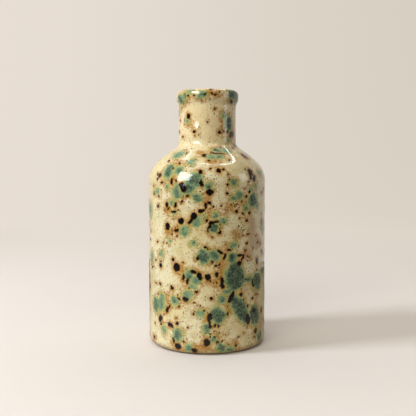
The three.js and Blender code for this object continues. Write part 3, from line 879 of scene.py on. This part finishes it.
# %% Reactive glaze: iron spots and specks
angular = place.node("ShaderNodeTexVoronoi", None, {"Vector": place, "Scale": 0.55}, "Distance")
iron_edge = spot + 2.0 * (fine - 0.5) + 1.8 * (small - 0.5) + 0.8 * (angular - 0.45)
scorch = iron_edge.fade(0.3 + 0.5 * heat, 0.0)
surface = (scorch * 0.7).between(surface, colour(96, 58, 24))
black = (iron_edge + 0.08).fade(0.2, -0.12)

# The grains are looked up at places pushed about by noise, so their outlines aren't round.
jumble = {"Vector": place, "Scale": 0.7, "Detail": 2.0}
bent = place.node("ShaderNodeTexNoise", None, jumble, "Color")
bent = place.vector("ADD", {0: place, 1: bent.vector("SCALE", {0: bent, "Scale": 1.6})})
crowd = (noise(place, 15, 3, 0.6) + 0.25 * runny + 0.25 * ragged.fade(5, 0)).fade(0.42, 0.62)
bare = 1 - 0.85 * body
grains = specks(bent, 1.4, 0.2, 0.5, 0.6) * (0.4 + 0.6 * crowd) * bare
surface = (grains * 0.85).between(surface, colour(124, 68, 32))
middling = specks(bent, 2.1, 0.3, 0.65, 0.4) * (0.35 + 0.65 * crowd) * bare
surface = (middling * 0.9).between(surface, colour(88, 48, 24))
large_grains = specks(bent, 3.6, 0.3, 0.85, 0.25) * crowd.larger(0.4) * bare
surface = large_grains.between(surface, colour(30, 19, 14))
surface = black.between(surface, colour(18, 12, 10))

# %% Reactive glaze: gloss
height = 0.04 * fine + 0.08 * small + 0.05 * body - 0.04 * grains
normal = flow.node("ShaderNodeBump", None, {"Strength": 0.5, "Distance": MM, "Height": height})
look = {"Base Color": surface, "Roughness": 0.05 + 0.08 * small, "Normal": normal, "IOR": 1.5}
dressed(glaze, made, flow, look)

# %% [markdown]
# ## The liner glaze and the bare clay
# Inside, a plain cream glaze only has to hold water, so it is one pale tone with a little
# iron showing through, softer in gloss than the outside. Under the foot nothing is glazed: the
# fired clay is buff, dry and gritty, with no shine at all.

# %% Liner glaze
made, flow, place = new_material("liner_glaze")
small = noise(place, 3.0, 3, 0.6)
ground = noise(place, 24, 3).fade(0.35, 0.65).between(colour(226, 214, 182), colour(208, 190, 148))
ground = (small.fade(0.5, 0.75) * 0.5).between(ground, colour(192, 158, 104))
grains = specks(place, 2.4, 0.2, 0.6, 0.4)
surface = (grains * 0.8).between(ground, colour(110, 70, 42))
normal = flow.node(
    "ShaderNodeBump", None, {"Strength": 0.5, "Distance": MM, "Height": 0.1 * small - 0.05 * grains}
)
look = {"Base Color": surface, "Roughness": 0.2 + 0.15 * small, "Normal": normal}
dressed(liner, made, flow, {**look, "Coat Weight": 0.4})

# %% Bare fired clay
made, flow, place = new_material("bare_stoneware")
sand = noise(place, 0.7, 3, 0.7)
tone = noise(place, 12, 4, 0.6)
ground = tone.fade(0.3, 0.7).between(colour(178, 150, 116), colour(146, 116, 84))
ground = (sand.fade(0.45, 0.8) * 0.5).between(ground, colour(206, 186, 154))
grit = specks(place, 1.4, 0.12, 0.4, 0.45)
surface = (grit * 0.8).between(ground, colour(74, 50, 36))
normal = flow.node(
    "ShaderNodeBump", None, {"Strength": 0.8, "Distance": MM, "Height": 0.16 * sand + 0.05 * grit}
)
look = {"Base Color": surface, "Roughness": 0.75 + 0.2 * sand, "Normal": normal}
dressed(clay, made, flow, look)

# %% [markdown]
# ## The studio
# A round paper sweep keeps the ground pale and seamless from every side. Only the camera sees
# it. Far out it glows by itself, lighter on the left: painted light. What the vase's gloss and
# shaded side see is set apart from it: a small disc of darker paper under the foot, painted
# darker still towards its edge, and a room that is bright behind the vase and dim in front.

# %% A surface turned about the middle of the room
STAGE_SIDES = 96


def round_angles():
    """STAGE_SIDES angles, evenly spaced round a circle."""
    return np.linspace(0, 2 * np.pi, STAGE_SIDES + 1)[:-1]


def turned_stage(name, profile):
    """Rows of points (r sin a, -r cos a, z) round the axis for each (r, z) of a profile."""
    a = round_angles()
    r, z = profile[1:, :1], profile[1:, 1:]
    grid = np.stack([r * np.sin(a), -r * np.cos(a), z + 0 * a], -1)
    verts = np.concatenate([[[0.0, 0.0, profile[0, 1]]], grid.reshape(-1, 3)])
    k, i = np.meshgrid(np.arange(len(grid) - 1), np.arange(STAGE_SIDES), indexing="ij")
    i2 = (i + 1) % STAGE_SIDES
    near, far = 1 + k * STAGE_SIDES, 1 + (k + 1) * STAGE_SIDES
    quads = np.stack([near + i, far + i, far + i2, near + i2], -1).reshape(-1, 4)
    one = np.arange(STAGE_SIDES)
    fan = np.stack([0 * one, 1 + one, 1 + (one + 1) % STAGE_SIDES], -1)
    mesh = bpy.data.meshes.new(name)
    mesh.from_pydata(verts.tolist(), [], fan.tolist() + quads.tolist())
    mesh.shade_smooth()
    made = bpy.data.objects.new(name, mesh)
    bpy.context.scene.collection.objects.link(made)
    return made


# %% The sweep, and the disc that stands in for it in the gloss
FLAT, CURVE, WALL = 1.2, 0.9, 2.4
JUST_BELOW = -0.0004
t = np.radians(np.linspace(-90, 0, 24))
curve = np.stack([FLAT + CURVE * np.cos(t), CURVE + CURVE * np.sin(t)], 1)
flat = np.array([[0.0, 0.0], [0.3, 0.0], [0.7, 0.0]])
sweep = turned_stage("paper_sweep", np.concatenate([flat, curve, [[FLAT + CURVE, WALL]]]))
sweep.visible_diffuse = sweep.visible_glossy = sweep.visible_shadow = False
disc_profile = np.array([[0.0, JUST_BELOW], [0.15, JUST_BELOW], [0.45, JUST_BELOW]])
disc = turned_stage("paper_under_foot", disc_profile)
disc.visible_camera = disc.visible_shadow = False
print("the sweep is flat to", FLAT, "m and", WALL, "m high")


# %% Paper
PAPER = (0.79, 0.76, 0.75)
PAINTED_LIGHT_LEFT, PAINTED_LIGHT_RIGHT = (232, 222, 212), (216, 207, 195)
BLACK = (0, 0, 0, 1)


def paper(name, glows):
    """Matt paper. Far from the middle, its own glow takes over from the lamps' light: painted
    light, lighter on the left than on the right. Without the glow, it is painted darker away
    from the middle: painted shade.
    """
    made = bpy.data.materials.new(name)
    made.use_nodes = True
    made.node_tree.nodes.clear()
    flow = Flow(made.node_tree)
    place = flow.node("ShaderNodeTexCoord", output="Object")
    reach = place.vector("LENGTH", {0: place}, "Value")
    settings = {"Roughness": 0.9, "Specular IOR Level": 0.05}
    if glows:
        across = place.node("ShaderNodeSeparateXYZ", None, {0: place}, "X")
        # Painted light: the glow is lighter on the left, where the window lamp falls, and dimmer on
        # the right.
        lit = across.fade(-0.9, 0.9).between(colour(*PAINTED_LIGHT_LEFT), colour(*PAINTED_LIGHT_RIGHT))
        settings["Emission Color"] = reach.fade(0.12, 1.05).between(BLACK, lit)
        settings["Emission Strength"] = 1.0
        # Painted shade: under the window lamp plain paper would burn out, so its colour goes sooner
        # there.
        dimmed = reach + across.fade(-0.2, -0.8) * 0.12
        settings["Base Color"] = dimmed.fade(0.19, 1.08).between((*PAPER, 1), BLACK)
    else:
        # Painted shade: the disc is darker than the sweep and darker still away from the foot, so
        # the light it throws back and shows in the gloss fades out.
        near = reach.fade(0.34, 0.05)
        settings["Base Color"] = near.between((0.16, 0.15, 0.14, 1), (0.45, 0.42, 0.38, 1))
    return finished(made, flow, settings)


sweep.data.materials.append(paper("sweep_paper", glows=True))
disc.data.materials.append(paper("near_paper", glows=False))

# %% [markdown]
# ## The lights
# Glossy glaze shows every lamp as a bright shape, so the lamps that light the vase and the
# ones that show in its gloss are set apart. A window on the left and a broad fill do the
# lighting; a soft box, a side card and a ring overhead put the highlights on the shoulder.

# %% Lights
def soft_light(name, size, watts, azimuth, elevation, distance, tint, gloss):
    """An area light aimed at the middle of the vase from an angle round the front.

    It either lights the surfaces or shows in their gloss, not both."""
    lamp = bpy.data.lights.new(name, "AREA")
    lamp.shape = "RECTANGLE"
    lamp.size, lamp.size_y = size
    lamp.energy = watts
    lamp.color = tint
    holder = bpy.data.objects.new(name, lamp)
    az, el = np.radians(azimuth), np.radians(elevation)
    toward = np.array([np.sin(az) * np.cos(el), -np.cos(az) * np.cos(el), np.sin(el)])
    middle = np.array([0, 0, 0.6 * HEIGHT * MM])
    holder.location = middle + distance * toward
    holder.rotation_euler = (np.pi / 2 - el, 0, az)
    holder.visible_camera = False
    holder.visible_diffuse = not gloss
    holder.visible_glossy = gloss
    bpy.context.scene.collection.objects.link(holder)
    print(name, watts, "W")


soft_light("window", (0.44, 0.38), 21.6, -74, 30, 1.8, (0.98, 1, 1.03), gloss=False)
soft_light("fill", (1.5, 1.3), 23.4, -18, 24, 2.0, (1, 0.94, 0.80), gloss=False)
soft_light("ceiling", (1.6, 1.6), 5.2, 0, 90, 1.4, (1.0, 0.92, 0.82), gloss=False)
soft_light("soft_box", (0.37, 0.46), 8.5, -45, 27, 0.9, (1, 1, 1), gloss=True)
soft_light("side_card", (0.30, 0.5), 1.2, 75, 14, 1.0, (1, 1, 1), gloss=True)

# %% A ring lamp overhead, seen only as a thin line in the gloss of the shoulder
RING_HEIGHT, RING_RADIUS, RING_WIDTH, RING_STRENGTH = 1.15, 0.48, 0.034, 26.0
a = round_angles()
rim = np.stack([np.cos(a), np.sin(a), 0 * a], 1)
verts = np.concatenate([RING_RADIUS * rim, (RING_RADIUS + RING_WIDTH) * rim])
one = np.arange(STAGE_SIDES)
two = (one + 1) % STAGE_SIDES
quads = np.stack([one, two, STAGE_SIDES + two, STAGE_SIDES + one], -1)
mesh = bpy.data.meshes.new("ring_lamp")
mesh.from_pydata(verts.tolist(), [], quads.tolist())
ring = bpy.data.objects.new("ring_lamp", mesh)
ring.location = (0.09, 0.25, RING_HEIGHT)
bpy.context.scene.collection.objects.link(ring)
ring.visible_camera = ring.visible_diffuse = ring.visible_shadow = False
made = bpy.data.materials.new("ring_glow")
made.use_nodes = True
made.node_tree.nodes.clear()
flow = Flow(made.node_tree)
place = flow.node("ShaderNodeTexCoord", output="Object")
across = place.node("ShaderNodeSeparateXYZ", None, {0: place}, "X")
glow = across.fade(-0.46, -0.2).between((0.3, 0.3, 0.3, 1), (0.7, 0.7, 0.7, 1))
glow = across.fade(0.36, 0.48).between(glow, (1, 1, 1, 1))
lamp_look = {"Base Color": BLACK, "Emission Color": glow, "Emission Strength": RING_STRENGTH}
mesh.materials.append(finished(made, flow, lamp_look))
print("ring lamp", 2 * RING_RADIUS, "m across")

# %% The room
world = bpy.data.worlds.new("room")
world.use_nodes = True
world.node_tree.nodes.clear()
flow = Flow(world.node_tree)
aim = flow.node("ShaderNodeTexCoord", output="Generated")
behind = aim.node("ShaderNodeSeparateXYZ", None, {0: aim}, "Y").fade(-0.2, 0.5)
room = behind.between((0.07, 0.062, 0.05, 1), (0.72, 0.66, 0.58, 1))
room = flow.node("ShaderNodeBackground", None, {"Color": room, "Strength": 1.0})
flow.node("ShaderNodeOutputWorld", None, {"Surface": room})
bpy.context.scene.world = world
bpy.context.scene.view_settings.view_transform = "Standard"

# %% [markdown]
# ## The camera
# The eye is level with the foot of the neck and looks slightly down, from a little over half
# a metre away, so the mouth stays closed and the base shows as a shallow curve.

# %% Camera
EYE_DISTANCE, EYE_HEIGHT, LOOK_DOWN, LOOK_RIGHT = 0.532, 0.1466, 4.0, 0.1
lens = bpy.data.cameras.new("camera")
lens.lens, lens.sensor_width = 56.25, 36.0
eye = bpy.data.objects.new("camera", lens)
eye.location = (0, -EYE_DISTANCE, EYE_HEIGHT)
eye.rotation_euler = (np.radians(90 - LOOK_DOWN), 0, np.radians(-LOOK_RIGHT))
bpy.context.scene.collection.objects.link(eye)
bpy.context.scene.camera = eye
print("camera", EYE_DISTANCE, "m in front,", EYE_HEIGHT, "m up")
